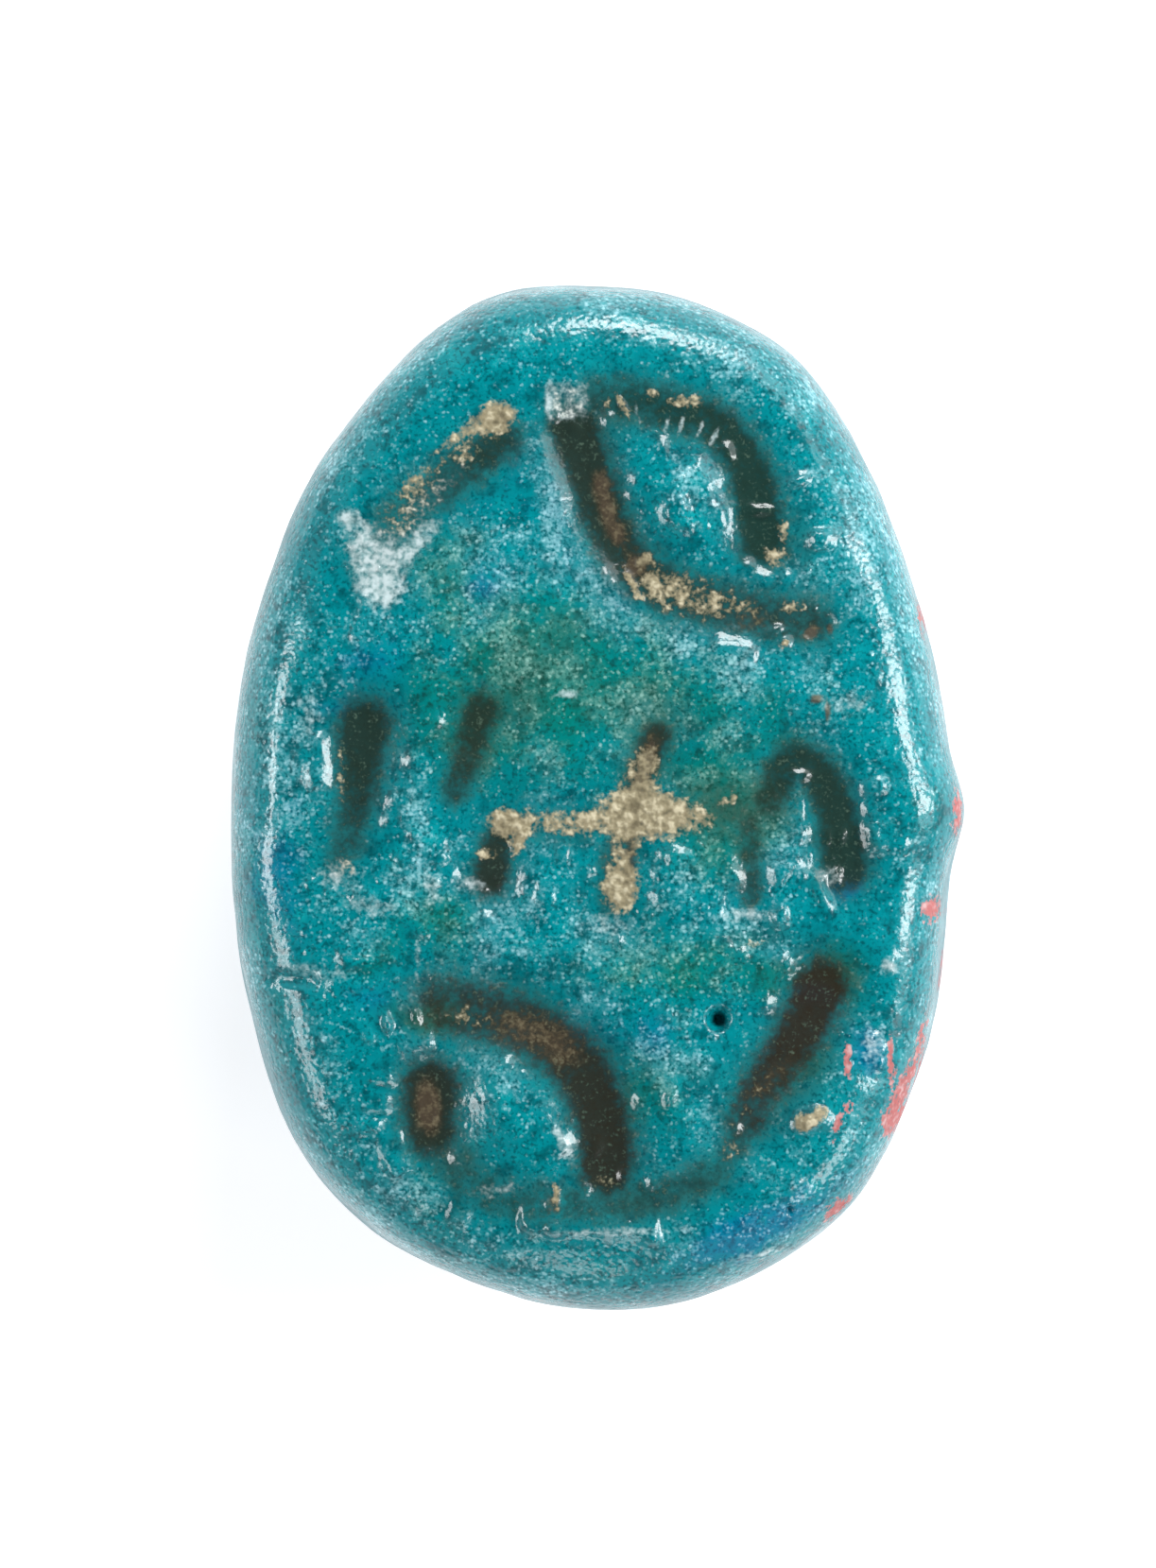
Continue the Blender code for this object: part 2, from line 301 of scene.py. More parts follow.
lips = (
    # Rolls of glaze that catch the light: paths in millimetres.
    ((-3.80, 0.08), (-3.80, 0.72), (-3.86, 0.94)),  # beside the left bar
    ((-4.42, -0.45), (-4.44, 0.35), (-4.36, 1.05)),
    ((-2.68, -5.23), (-2.83, -4.86), (-2.95, -4.50)), ((-2.96, -4.35), (-2.93, -3.96)),
    ((-2.92, -3.96), (-2.84, -3.64)), ((-2.74, -3.46), (-2.40, -3.34), (-2.20, -3.34)),
    ((-2.94, -3.10), (-2.76, -3.05)), ((-2.56, -3.01), (-2.36, -2.95)),  # over the lower ring
    ((-2.60, -5.35), (-2.30, -5.62)), ((-3.02, -4.62), (-3.05, -4.30)), ((-2.10, -5.66), (-1.70, -5.78)),
    ((3.72, 0.32), (3.77, 0.0)), ((3.77, -0.27), (3.85, -0.82)),  # right of the hook
    ((2.75, 4.47), (2.84, 4.22)), ((2.99, 3.72), (3.02, 3.33)),
    ((2.25, 1.98), (1.90, 2.04), (1.53, 2.07)),  # under the upper ring
    ((0.89, -5.93), (0.12, -5.86), (-0.59, -5.82), (-1.12, -5.76)),
    ((1.90, -1.20), (1.86, -0.87)),  # left of the short upright
    ((2.58, -1.18), (2.50, -1.12), (2.46, -0.80)),  # under the hook
    ((3.19, -1.22), (2.93, -1.36)), ((2.65, -1.53), (2.52, -1.56), (2.46, -1.72)),
    ((0.80, -1.14), (0.96, -1.48)), ((-0.32, -0.70), (-0.61, -0.70)),
    ((-0.89, -0.89), (-0.92, -1.17)), ((1.28, -0.81), (0.92, -0.74)),
    ((-3.30, -2.37), (-3.39, -2.17), (-3.32, -2.08)),
    ((-0.36, -4.86), (-0.48, -4.62), (-0.56, -4.50)),  # inner side of the lower ring
    ((2.05, 3.94), (2.05, 4.08)), ((2.31, 3.83), (2.31, 4.05)),  # in the upper ring's right limb
    ((2.49, 2.20), (2.41, 2.41)), ((1.02, 4.78), (0.80, 4.77)),
    ((2.81, 0.20), (2.81, 0.45)), ((2.81, -0.90), (2.80, -0.69)),
    ((-1.63, -4.20), (-1.63, -4.05)), ((-2.14, -0.95), (-2.14, -0.69)),
    ((2.93, 3.06), (2.80, 3.16)), ((1.63, 4.22), (1.49, 4.42), (1.29, 4.56)),
    ((1.08, -4.10), (0.95, -4.03)), ((-0.30, 3.12), (-0.47, 3.30), (-0.60, 3.52)),
    ((-4.40, -2.62), (-4.75, -2.20)),
)
rolls = {
    "steepSpread": 0.14, "gentleSpread": 0.26, "taper": 0.12,  # spread of the two sides and of the ends
    "flank": 0.7,  # where a side is steepest, as a share of its spread
    "glintSlope": 0.54,  # slope of a surface that mirrors the lights to the eye
    "leastSlope": 0.1,
    "beading": 0.15, "unevenness": 0.30,  # length of the beads along a roll, and their share of its height
    "dropSpread": 0.09,
}
steepestSlope = math.sqrt(2 / math.e)  # of the bell h e^-(d / w)^2, as a share of h / w

drops = {  # beads of glaze: their height, and the places of their middles, in millimetres
    0.045: (
        (1.38, 4.04), (1.56, 4.08), (1.72, 3.76), (0.56, 4.38), (0.49, 4.16), (2.08, 3.17), (2.57, 2.13),
        (-3.3, 3.46), (-3.23, 3.3), (-3.35, 3.2), (-3.28, 3.09), (-3.2, 3.52), (-2.76, -0.03),
        (-2.63, -0.25), (-2.36, -0.54), (-2.66, -0.82), (-2.52, 0.57), (-2.5, 0.52), (-2.6, -1.65),
        (-1.27, -1.22), (-0.75, -1.37), (-3.12, -2.18), (-2.82, -2.24), (-2.74, -2.41), (-2.56, -2.4),
        (-3.65, -2.49), (-3.42, -2.54), (1.64, -1.38), (2.13, -1.48), (3.34, -0.53), (3.17, -0.5),
        (4.19, -0.66), (0.8, -5.2), (-0.86, -5.86), (0.02, -4.71), (-0.02, -4.8), (-0.98, 2.15),
        (-1.49, 1.6), (3.8, -3.5)),
    0.053: (
        (-0.58, 5.22), (-0.62, 5.24), (0.16, 5.19), (1.8, 4.79), (1.15, 3.76), (2.2, 3.04), (2.31, 3.01),
        (2.57, 3.01), (-3.17, 2.72), (-3.86, 1.18), (-2.83, -0.27), (-3.9, -1.15), (-3.27, -1.32),
        (-3.2, -1.31), (-1.98, -1.04), (-2.21, -1.12), (-0.97, -1.21), (-0.75, -1.18), (-0.78, -1.29),
        (-0.66, -1.42), (-0.12, -0.98), (0.32, -2.00), (-2.48, -2.38), (-2.35, -2.37), (0.92, -0.74),
        (1.00, -0.74), (1.28, -0.81), (1.42, -0.69), (1.94, -1.2), (1.56, -1.3), (1.64, -1.55),
        (3.24, -0.97), (3.28, -1.1), (1.94, -1.83), (0.85, -1.01), (0.6, -4.1), (1.00, -4.06),
        (0.77, -5.24), (-0.24, -5.45), (-1.99, -2.98), (0.15, 3.02), (-2.18, 1.05), (4.25, -3.31)),
    0.058: (
        (-0.32, 5.09), (1.81, 4.71), (1.16, 4.05), (1.00, 3.94), (1.00, 3.87), (1.71, 3.9), (1.24, 3.71),
        (3.19, 2.42), (-3.18, 2.55), (-3.19, 2.5), (-3.25, 2.36), (-3.28, 2.22), (-2.76, 0.01),
        (-2.48, -0.47), (-2.43, -0.5), (-2.13, -0.61), (-3.63, -1.27), (-3.13, -1.33), (-2.41, -1.79),
        (-2.36, -1.82), (-1.49, -1.66), (-1.5, -1.63), (-1.5, -1.31), (-0.66, -1.29), (-3.75, -2.46),
        (-3.57, -2.51), (-3.29, -2.56), (1.8, -0.81), (1.84, -0.91), (1.47, -1.48), (2.3, -0.06),
        (2.41, -0.02), (2.77, -0.5), (2.79, -0.48), (2.81, -1.05), (3.00, -1.09), (3.08, -1.07),
        (3.34, -0.47), (2.48, -1.68), (3.74, -0.14), (1.58, -1.92), (1.77, -1.95), (2.00, -2.13),
        (2.5, -2.16), (2.61, -2.28), (0.31, -1.98), (4.01, -2.22), (2.31, -2.8), (2.29, -2.79),
        (0.96, -2.95), (1.58, -3.18), (1.9, -4.5), (2.72, -5.24), (3.14, -4.4), (0.78, -6.00),
        (0.81, -6.00), (-0.15, -5.34), (-0.65, -5.54), (-0.59, -5.88), (-0.62, -5.87), (-0.55, -5.88),
        (-0.58, -5.84), (-0.92, -5.83), (0.37, -5.14), (-3.1, -3.24), (-3.08, -3.22), (-2.85, -3.07),
        (-2.27, -3.35), (-2.06, -2.98), (-2.3, -4.85), (-1.92, -4.91), (-1.33, -3.68), (-1.22, -3.62),
        (-1.63, 2.82), (3.75, -3.23), (3.88, -3.44), (3.88, -3.6)),
}
def faceLevel(x, y):
    # Height of the uncut face: widest level + face rise x (1 - s^p)^(1/p), s the share of the way to the
    # outline.
    share = np.minimum(np.hypot(x - sideShift, y) / outlineRadius(np.arctan2(y, x - sideShift)), 1)
    power = seal["faceFullness"]
    return seal["widestLevel"] + faceRise * (1 - share ** power) ** (1 / power)


def raisedGlaze(x, y):
    # A roll is h e^-(d / w)^2, with a narrow w on its steep side and a wide one on its gentle side, tapered
    # towards both ends. Its steep side is the one where the ground falls more, and its height brings that
    # side to the slope that mirrors the lights. A drop is h e^-(r / s)^2. Rolls that meet are joined by the
    # higher one, and so are drops.
    steep = rolls["steepSpread"]
    rolled, dropped = np.zeros(x.shape), np.zeros(x.shape)
    for points in lips:
        path = smoothPath(points)
        signed, share = alongPath(x, y, path)
        length = np.linalg.norm(np.diff(path, axis=0), axis=1).sum()
        middle = len(path) // 2
        ahead = path[middle + 1] - path[middle - 1]
        ahead = ahead / np.linalg.norm(ahead)
        leftward = np.array((-ahead[1], ahead[0])) * steep * rolls["flank"]
        px, py = np.transpose((path[middle] - leftward, path[middle], path[middle] + leftward))
        right, crest, left = faceLevel(px, py) - carve(px, py)[0]
        falls = {-1: (crest - right) / (steep * rolls["flank"]), 1: (crest - left) / (steep * rolls["flank"])}
        side = max(falls, key=falls.get)
        height = max(rolls["glintSlope"] - falls[side], rolls["leastSlope"]) * steep / steepestSlope
        spread = np.where(signed * side > 0, steep, rolls["gentleSpread"])
        taper = fade(np.minimum(share, 1 - share) * length, 0, rolls["taper"])
        rolled = np.maximum(rolled, height * np.exp(-((signed / spread) ** 2)) * taper)
    for height, places in drops.items():
        for dropX, dropY in places:
            bead = height * np.exp(-((x - dropX) ** 2 + (y - dropY) ** 2) / rolls["dropSpread"] ** 2)
            dropped = np.maximum(dropped, bead)
    uneven = 1 + rolls["unevenness"] * smoothNoise(np.stack((x, y, 0 * x), -1), rolls["beading"], 55)
    return rolled * uneven + dropped


# Patches of colour, in millimetres, each (x, y, half length, half width, turn in degrees, strength) and,
# for a squarer patch, a power above 2

patches = {
    "silt": (  # buff burial earth left in the carving
        (-1.38, 5.2, 0.26, 0.2, 35, 1.4), (-1.7, 5.08, 0.24, 0.09, 38, 0.6),
        (-2.02, 4.88, 0.26, 0.07, 42, 0.5), (-2.53, 4.33, 0.22, 0.12, 35, 0.6),
        (-1.78, 4.7, 0.16, 0.12, 40, 0.5), (-2.4, 4.05, 0.5, 0.26, 42, 0.34),
        (-2.75, 3.75, 0.3, 0.26, 42, 0.34), (-0.4, 5.44, 0.29, 0.27, -4, 0.3, 6),
        (0.35, 5.4, 0.24, 0.05, -60, 0.85), (0.75, 5.56, 0.1, 0.08, 0, 0.6),
        (1.22, 5.45, 0.28, 0.11, 0, 0.62), (0.15, 5.4, 0.06, 0.2, 0, 0.45),
        (2.42, 3.32, 0.17, 0.15, 0, 0.75), (2.56, 3.66, 0.1, 0.2, 0, 0.5),
        (0.63, 3.26, 0.14, 0.12, 0, 0.7), (0.48, 2.94, 0.28, 0.05, -60, 0.9),
        (0.78, 2.94, 0.26, 0.24, -20, 0.66), (1.15, 2.8, 0.3, 0.3, -10, 0.56),
        (1.58, 2.7, 0.3, 0.28, -8, 0.52), (2.02, 2.58, 0.26, 0.2, 0, 0.45),
        (2.68, 2.62, 0.2, 0.14, 0, 0.5), (2.57, 2.13, 0.08, 0.06, 0, 1.0),
        (-1.24, -0.32, 0.22, 0.19, 0, 1.35), (-1.04, -0.52, 0.1, 0.26, -20, 1.1),
        (-1.51, -0.76, 0.16, 0.08, 0, 0.8), (-0.75, -0.3, 0.26, 0.16, 0, 0.55),
        (-0.42, -0.35, 0.26, 0.18, 0, 0.6), (-0.08, -0.3, 0.24, 0.16, 0, 0.8),
        (0.5, -0.19, 0.42, 0.32, 0, 1.4), (0.89, -0.22, 0.3, 0.28, 0, 1.1),
        (1.22, -0.22, 0.24, 0.2, 0, 0.75), (1.47, -0.29, 0.2, 0.14, 0, 0.5),
        (1.82, 0.01, 0.16, 0.08, 15, 0.7), (0.62, 0.33, 0.22, 0.34, -12, 0.72),
        (0.74, 0.65, 0.16, 0.24, -15, 0.34), (0.37, -0.77, 0.2, 0.36, 0, 0.62),
        (0.32, -1.22, 0.22, 0.28, 0, 1.45), (2.84, -4.4, 0.15, 0.11, 30, 1.4),
        (3.04, -4.27, 0.11, 0.08, 30, 1.0), (1.8, -4.84, 0.26, 0.16, 50, 0.36),
        (2.19, -1.95, 0.22, 0.1, 0, 0.36), (-0.55, -5.38, 0.06, 0.26, 4, 0.75),
        (-1.75, -2.95, 0.4, 0.18, -6, 0.4), (-3.4, -0.95, 0.22, 0.16, 0, 0.45),
        (0.1, -5.25, 0.26, 0.16, 0, 0.3), (-3.5, 0.28, 0.07, 0.52, 2, 0.4),
        (-2.15, 4.62, 0.55, 0.2, 42, 0.26), (2.12, -4.1, 0.6, 0.07, 52, 0.34)),
    "rust": (  # brown earth lying deeper
        (0.07, 4.3, 0.14, 0.2, 10, 0.9), (0.14, 3.95, 0.12, 0.24, 15, 0.95),
        (0.28, 3.62, 0.13, 0.22, 25, 0.9), (0.55, 3.18, 0.2, 0.17, 30, 1.0),
        (-2.31, -4.22, 0.17, 0.36, 4, 1.25), (-1.05, -3.12, 0.46, 0.28, -16, 0.55),
        (-0.5, -3.36, 0.4, 0.3, -36, 0.6), (2.35, -3.85, 0.16, 0.6, -48, 0.36),
        (0.74, 0.66, 0.12, 0.26, -12, 0.7), (0.6, 0.26, 0.13, 0.34, -14, 0.6),
        (0.52, -0.12, 0.09, 0.34, -8, 0.4), (0.46, -0.8, 0.1, 0.32, 0, 0.7),
        (-1.32, 5.22, 0.08, 0.12, 0, 0.8), (2.1, 2.45, 0.3, 0.18, 0, 0.45),
        (2.93, 2.27, 0.12, 0.08, 20, 1.2), (2.99, 1.36, 0.1, 0.05, 0, 1.2),
        (3.15, 1.2, 0.04, 0.15, 0, 1.0), (3.19, 2.32, 0.05, 0.08, 20, 0.9),
        (-0.58, -5.55, 0.1, 0.2, 0, 0.5)),
    "frostAndHighlight": (  # whitish weathered glaze, and one painted highlight
        (-2.45, 3.95, 0.5, 0.24, 42, 0.3), (-1.95, 4.45, 0.4, 0.18, 42, 0.24),
        (-3.18, 3.37, 0.24, 0.48, 15, 0.75), (-2.92, 2.88, 0.28, 0.26, 0, 1.1),
        (-2.5, 3.45, 0.14, 0.44, -45, 0.85), (-3.39, 3.83, 0.14, 0.1, 0, 1.0),
        (-2.85, 3.35, 0.26, 0.3, 0, 0.55), (-3.5, -1.03, 0.4, 0.22, 0, 0.45),
        (-2.24, -1.22, 0.12, 0.28, 10, 0.6), (-1.69, -1.16, 0.2, 0.14, 0, 0.6),
        (-3.1, -1.45, 0.4, 0.16, -12, 0.5), (3.19, -1.03, 0.18, 0.14, 0, 0.5),
        (2.05, -1.58, 0.36, 0.1, 0, 0.65), (3.8, -3.42, 0.18, 0.34, 0, 0.5),
        (-0.4, 1.43, 0.18, 0.05, 0, 0.9), (-0.47, -4.65, 0.08, 0.34, 28, 0.8),
        (3.45, 1.3, 0.4, 0.2, 0, 0.42), (-3.95, 1.1, 0.2, 0.4, 0, 0.4), (-2.44, -2.2, 0.05, 0.3, 0, 0.5),
        # the long thin strip at (0.2, -5.9) below, along the lower ring's bottom lip, is a painted highlight
        (0.2, -1.72, 0.3, 0.2, 0, 0.45), (0.2, -5.9, 1.1, 0.07, 2, 0.5),
        (2.28, -6.16, 0.6, 0.035, 12, 0.9), (-3.8, -2.35, 0.7, 0.12, -8, 0.4),
        (0.96, 5.1, 0.03, 0.16, -12, 0.7), (1.16, 5.12, 0.03, 0.16, -16, 0.7),
        (1.42, 5.06, 0.03, 0.16, -24, 0.7), (1.62, 4.96, 0.04, 0.14, -28, 0.7),
        (0.55, 5.3, 0.03, 0.2, 12, 0.5), (-0.4, 5.44, 0.31, 0.29, -4, 0.45, 8),
        (-0.66, 5.44, 0.04, 0.22, 0, 0.8), (1.35, 3.72, 0.1, 0.04, 0, 0.7),
        (-1.35, -5.35, 0.5, 0.12, 10, 0.4), (4.00, -2.28, 0.12, 0.12, 0, 0.7)),
    "milkAndSheen": (  # milky bands where the glaze is thin, some of them painted sheen
        # the first five bands follow the crest beside the upper ring: thin glaze there, and painted sheen
        # where the crest catches the light
        (-0.85, 4.55, 0.24, 0.6, 20, 0.5), (-0.53, 3.85, 0.26, 0.6, 18, 0.7),
        (-0.08, 3.05, 0.34, 0.52, 42, 0.9), (0.76, 2.25, 0.56, 0.28, -34, 0.9),
        (1.93, 1.88, 0.7, 0.22, -4, 0.7), (1.00, -1.3, 0.5, 0.36, 0, 0.35),
        (2.7, -1.05, 0.3, 0.4, 0, 0.3), (-0.75, -3.95, 0.5, 0.4, -20, 0.6),
        (-2.1, -0.8, 0.5, 0.4, 0, 0.4), (-0.2, -1.65, 1.00, 0.4, 0, 0.35),
        # the first band below lies along the top rim and is painted sheen
        (1.7, 6.00, 1.6, 0.36, -18, 0.45), (-2.7, -2.6, 0.6, 0.16, -14, 0.4),
        # the second band below, over the upper ring's dome, is painted sheen
        (3.55, 3.4, 0.22, 1.00, 14, 0.35), (1.1, 4.6, 0.5, 0.16, -24, 0.5),
        (1.72, 3.6, 0.1, 0.5, 20, 0.4), (-3.4, -4.2, 0.22, 0.9, 18, 0.5),
        (-2.3, -5.4, 0.5, 0.2, -34, 0.5), (1.1, -5.1, 0.5, 0.12, 20, 0.8),
        (0.7, -5.00, 0.3, 0.2, 0, 0.4)),
    "green": (  # duller green glaze over the field
        (-0.9, 1.9, 1.5, 1.00, 20, 0.95), (0.3, 1.3, 1.6, 0.8, 0, 0.7), (1.6, 1.2, 1.3, 0.6, 0, 0.45),
        (-2.00, 3.00, 0.6, 0.9, -20, 0.6), (0.8, -2.4, 1.2, 0.6, 0, 0.5), (0.75, -3.8, 0.5, 0.7, 0, 0.6),
        (-1.1, 0.5, 0.8, 0.6, 0, 0.7), (2.1, -2.4, 0.8, 0.4, 0, 0.6), (-3.1, -2.2, 0.5, 0.36, 0, 0.5),
        (1.7, 0.1, 0.8, 0.6, 0, 0.8), (1.9, -0.6, 0.9, 0.6, 0, 0.6), (-2.00, -1.6, 0.6, 0.4, 0, 0.5),
        (-2.3, -2.95, 0.6, 0.26, -10, 0.8), (2.9, -3.6, 0.4, 0.8, -40, 0.6),
        (3.4, -2.4, 0.4, 0.5, 0, 0.5)),
    "murk": (  # dim grey-green clouds in the glaze
        (-0.75, 1.95, 0.5, 0.28, 0, 0.45), (-0.95, 1.35, 0.3, 0.4, 0, 0.4),
        (-0.35, 2.35, 0.3, 0.22, 0, 0.4), (1.8, -0.2, 0.55, 0.26, 0, 0.6),
        (2.15, -1.9, 0.46, 0.16, 0, 0.7), (0.55, -5.55, 0.5, 0.2, -6, 0.6),
        (1.3, -5.35, 0.55, 0.18, 26, 0.45), (-1.95, -5.05, 0.3, 0.2, 0, 0.45),
        (-1.35, 2.75, 0.26, 0.2, 0, 0.3), (2.95, -3.8, 0.26, 0.7, -42, 0.5),
        (-2.3, -3.00, 0.5, 0.2, -6, 0.5), (3.1, 0.35, 0.3, 0.3, 0, 0.3), (-1.8, -4.85, 0.24, 0.2, 0, 0.5),
        (1.35, -3.7, 0.3, 0.2, -30, 0.4), (0.55, 1.3, 0.6, 0.3, 0, 0.25), (2.9, 2.35, 0.4, 0.3, 0, 0.4),
        (2.85, 3.4, 0.16, 0.6, 6, 0.35), (0.15, 5.2, 0.5, 0.3, 0, 0.5),
        (-0.4, 5.44, 0.28, 0.26, -4, 0.5, 6)),
    "blue": (  # richer blue glaze
        (-4.3, -1.1, 0.45, 1.5, 5, 0.55), (-3.2, 1.75, 0.7, 0.4, 0, 0.6),
        (-2.9, -2.75, 0.7, 0.3, -10, 0.6), (-1.05, -5.35, 0.7, 0.26, -4, 0.5),
        (2.15, -5.85, 0.85, 0.24, 22, 1.1), (3.4, -1.2, 0.2, 0.16, 0, 0.9),
        (3.00, -2.62, 0.4, 0.22, 0, 0.8), (1.00, -3.2, 0.6, 0.3, 0, 0.45),
        (3.75, -3.45, 0.26, 0.4, 0, 0.9), (-3.4, 0.3, 0.2, 0.6, 0, 0.4), (3.6, -0.2, 0.3, 0.8, 0, 0.4),
        (1.7, -1.8, 0.8, 0.2, 0, 0.35), (-1.9, -5.6, 0.9, 0.24, -32, 0.4),
        (-1.55, 2.85, 0.3, 0.22, 0, 0.6), (-3.6, 1.25, 0.4, 0.2, 0, 0.5), (3.3, -5.1, 0.7, 0.3, 40, 0.3)),
    "cyan": (  # burst bubbles and thin places, glazed bright
        (-1.18, 3.81, 0.12, 0.14, 0, 1.0, 4), (-0.44, 2.83, 0.1, 0.11, 0, 1.0, 4),
        (-0.69, 2.12, 0.1, 0.09, 0, 1.0, 4), (-0.72, 0.59, 0.12, 0.16, 0, 1.0, 3),
        (-1.86, -1.97, 0.12, 0.05, -30, 1.0), (-0.35, -5.52, 0.12, 0.2, 0, 1.0),
        (0.95, 3.2, 0.3, 0.1, 20, 0.6), (1.1, 4.75, 0.4, 0.1, 0, 0.6), (-1.2, -4.1, 0.5, 0.4, -20, 0.6),
        (3.45, 4.05, 0.1, 0.3, 20, 0.4), (3.65, 3.2, 0.14, 0.24, 10, 0.5),
        (2.73, -0.64, 0.24, 0.32, 0, 0.8), (-3.4, 0.45, 0.1, 0.2, 0, 0.4),
        (-2.47, -0.64, 0.45, 0.3, 0, 0.7), (1.12, -0.96, 0.34, 0.24, 0, 0.8),
        (1.2, 3.9, 0.5, 0.5, -20, 0.6), (-2.45, 0.3, 0.2, 0.4, 0, 0.4), (-0.9, 6.05, 1.4, 0.3, 8, 0.4),
        (-1.1, -2.1, 0.6, 0.3, 0, 0.4), (1.4, -3.8, 0.4, 0.5, 0, 0.4), (3.00, -2.9, 0.4, 0.6, 0, 0.4)),
    "clear": (  # deep saturated glaze, with few grains
        (-1.2, 4.00, 0.36, 0.6, 20, 0.9), (1.6, -2.6, 1.00, 0.5, 0, 0.6), (0.4, -1.3, 0.6, 0.4, 0, 0.4),
        (-1.00, 6.05, 1.5, 0.36, 10, 0.7), (0.95, 3.7, 0.56, 0.5, -30, 1.0),
        (-1.3, -4.5, 0.5, 0.4, 0, 0.6), (-3.00, 1.6, 0.6, 0.6, 0, 0.6), (2.6, -0.9, 0.4, 0.5, 0, 0.5),
        (3.2, -1.6, 0.6, 0.5, 0, 0.4), (0.2, 0.85, 0.8, 0.26, 0, 0.5), (-4.00, -0.9, 0.6, 1.00, 0, 0.6),
        (3.5, 0.6, 0.4, 1.2, 0, 0.5), (3.1, 4.4, 0.5, 0.9, 30, 0.5), (-0.2, -6.3, 1.8, 0.24, 0, 0.5),
        (-1.55, 2.85, 0.3, 0.26, 0, 0.6), (-0.69, 2.02, 0.16, 0.2, 0, 0.7),
        (-2.2, 0.55, 0.3, 0.6, 0, 0.5), (-1.5, -5.3, 0.6, 0.24, 0, 0.6), (2.4, -5.7, 0.7, 0.3, 20, 0.5),
        (-2.6, 5.2, 0.9, 0.4, 45, 0.5), (1.6, 5.1, 0.4, 0.2, -30, 0.4)),
    "sparkle": (  # where beads and burst bubbles stand thick
        (-2.4, -1.2, 1.2, 0.5, 0, 0.8), (-3.3, -2.3, 0.8, 0.5, 0, 0.9), (2.8, -1.00, 0.6, 0.6, 0, 0.9),
        (1.2, -1.5, 1.6, 0.5, 0, 0.8), (-1.2, -4.2, 0.9, 0.8, 0, 0.5), (-0.3, -5.7, 1.8, 0.3, 0, 0.6),
        (3.5, -3.6, 0.5, 1.2, 0, 0.8), (2.4, -5.3, 1.2, 0.5, 30, 0.5), (1.2, 3.9, 0.8, 0.6, 0, 0.5),
        (2.9, 3.2, 0.4, 1.4, 0, 0.6), (-3.1, 3.2, 0.5, 0.7, 0, 0.8), (3.7, 0.8, 0.4, 2.2, 0, 0.5),
        (3.4, 1.6, 0.5, 0.5, 0, 0.5), (-2.2, 0.5, 0.5, 1.00, 0, 0.5), (0.2, -2.4, 2.6, 0.5, 0, 0.35)),
    "red": (  # traces of red paint along the right edge
        (4.46, 2.45, 0.045, 0.3, 10, 0.9), (4.74, 1.55, 0.05, 0.22, 6, 1.0),
        (4.86, 0.9, 0.05, 0.22, 0, 0.9), (4.93, -0.18, 0.09, 0.34, 0, 1.3),
        (4.58, -1.5, 0.14, 0.18, -30, 1.0), (4.72, -2.5, 0.06, 0.56, -4, 1.0),
        (4.24, -3.95, 0.12, 0.54, -26, 1.6), (4.05, -4.3, 0.14, 0.22, -30, 1.2),
        (3.3, -5.58, 0.2, 0.12, 38, 1.4), (3.44, -3.56, 0.05, 0.28, 0, 1.0),
        (4.02, -3.6, 0.045, 0.34, 0, 1.0), (3.27, -4.45, 0.05, 0.18, -12, 1.1),
        (3.42, -4.2, 0.1, 0.08, 30, 0.6), (3.95, -5.05, 0.04, 0.3, -40, 0.7),
        (4.45, -3.2, 0.05, 0.3, -14, 0.8)),
}


def patchField(x, y, kind):
    # Soft ovals, strength times e^-(u^n + v^n) with u and v the distances in half sizes and n the patch's
    # power, joined as 1 - product of (1 - each).
    rest = np.ones(x.shape)
    for px, py, halfAlong, halfAcross, turn, strength, *power in patches[kind]:
        c, s = math.cos(math.radians(turn)), math.sin(math.radians(turn))
        u, v = np.abs((x - px) * c + (y - py) * s), np.abs((y - py) * c - (x - px) * s)
        n = power[0] if power else 2
        rest = rest * (1 - np.minimum(strength * np.exp(-((u / halfAlong) ** n + (v / halfAcross) ** n)), 1))
    return 1 - rest


flaws = {
    # Small hollows (+) and lumps (-) of the face, in millimetres: x, y, half length, half width, turn in
    # degrees, depth
    "relief": (
        (1.31, 4.05, 0.1, 0.1, 0, 0.08), (1.66, -3.00, 0.13, 0.13, 0, 0.3),
        (2.63, -5.6, 0.05, 0.05, 0, 0.1), (2.15, -1.87, 0.42, 0.18, 0, 0.06),
        (-3.05, -2.05, 0.22, 0.14, 0, 0.05), (2.9, -4.36, 0.2, 0.14, 20, -0.1),
        (3.75, -3.5, 0.26, 0.46, 0, 0.04), (-4.2, -2.45, 0.6, 0.1, -6, 0.07),
        (2.28, -6.17, 0.7, 0.06, 12, -0.04), (-0.66, 4.3, 0.22, 0.85, 18, -0.06),
        (0.1, 3.00, 0.26, 0.7, 40, -0.06), (1.2, 2.15, 0.75, 0.22, -12, -0.035),
        (-1.1, -4.15, 0.55, 0.45, -20, -0.06), (1.2, 3.9, 0.55, 0.45, -20, -0.05),
        (0.1, -6.00, 1.6, 0.2, 2, -0.025), (-3.75, 0.15, 0.18, 0.5, 3, -0.04),
        (3.78, -0.15, 0.16, 0.55, -6, -0.04), (-0.69, 2.1, 0.09, 0.09, 0, 0.05),
        (-0.44, 2.83, 0.09, 0.09, 0, 0.04), (-0.72, 0.59, 0.1, 0.12, 0, 0.03)),
    "dotRing": dict(x=1.31, y=4.05, radius=0.30, width=0.10, height=0.015),
}


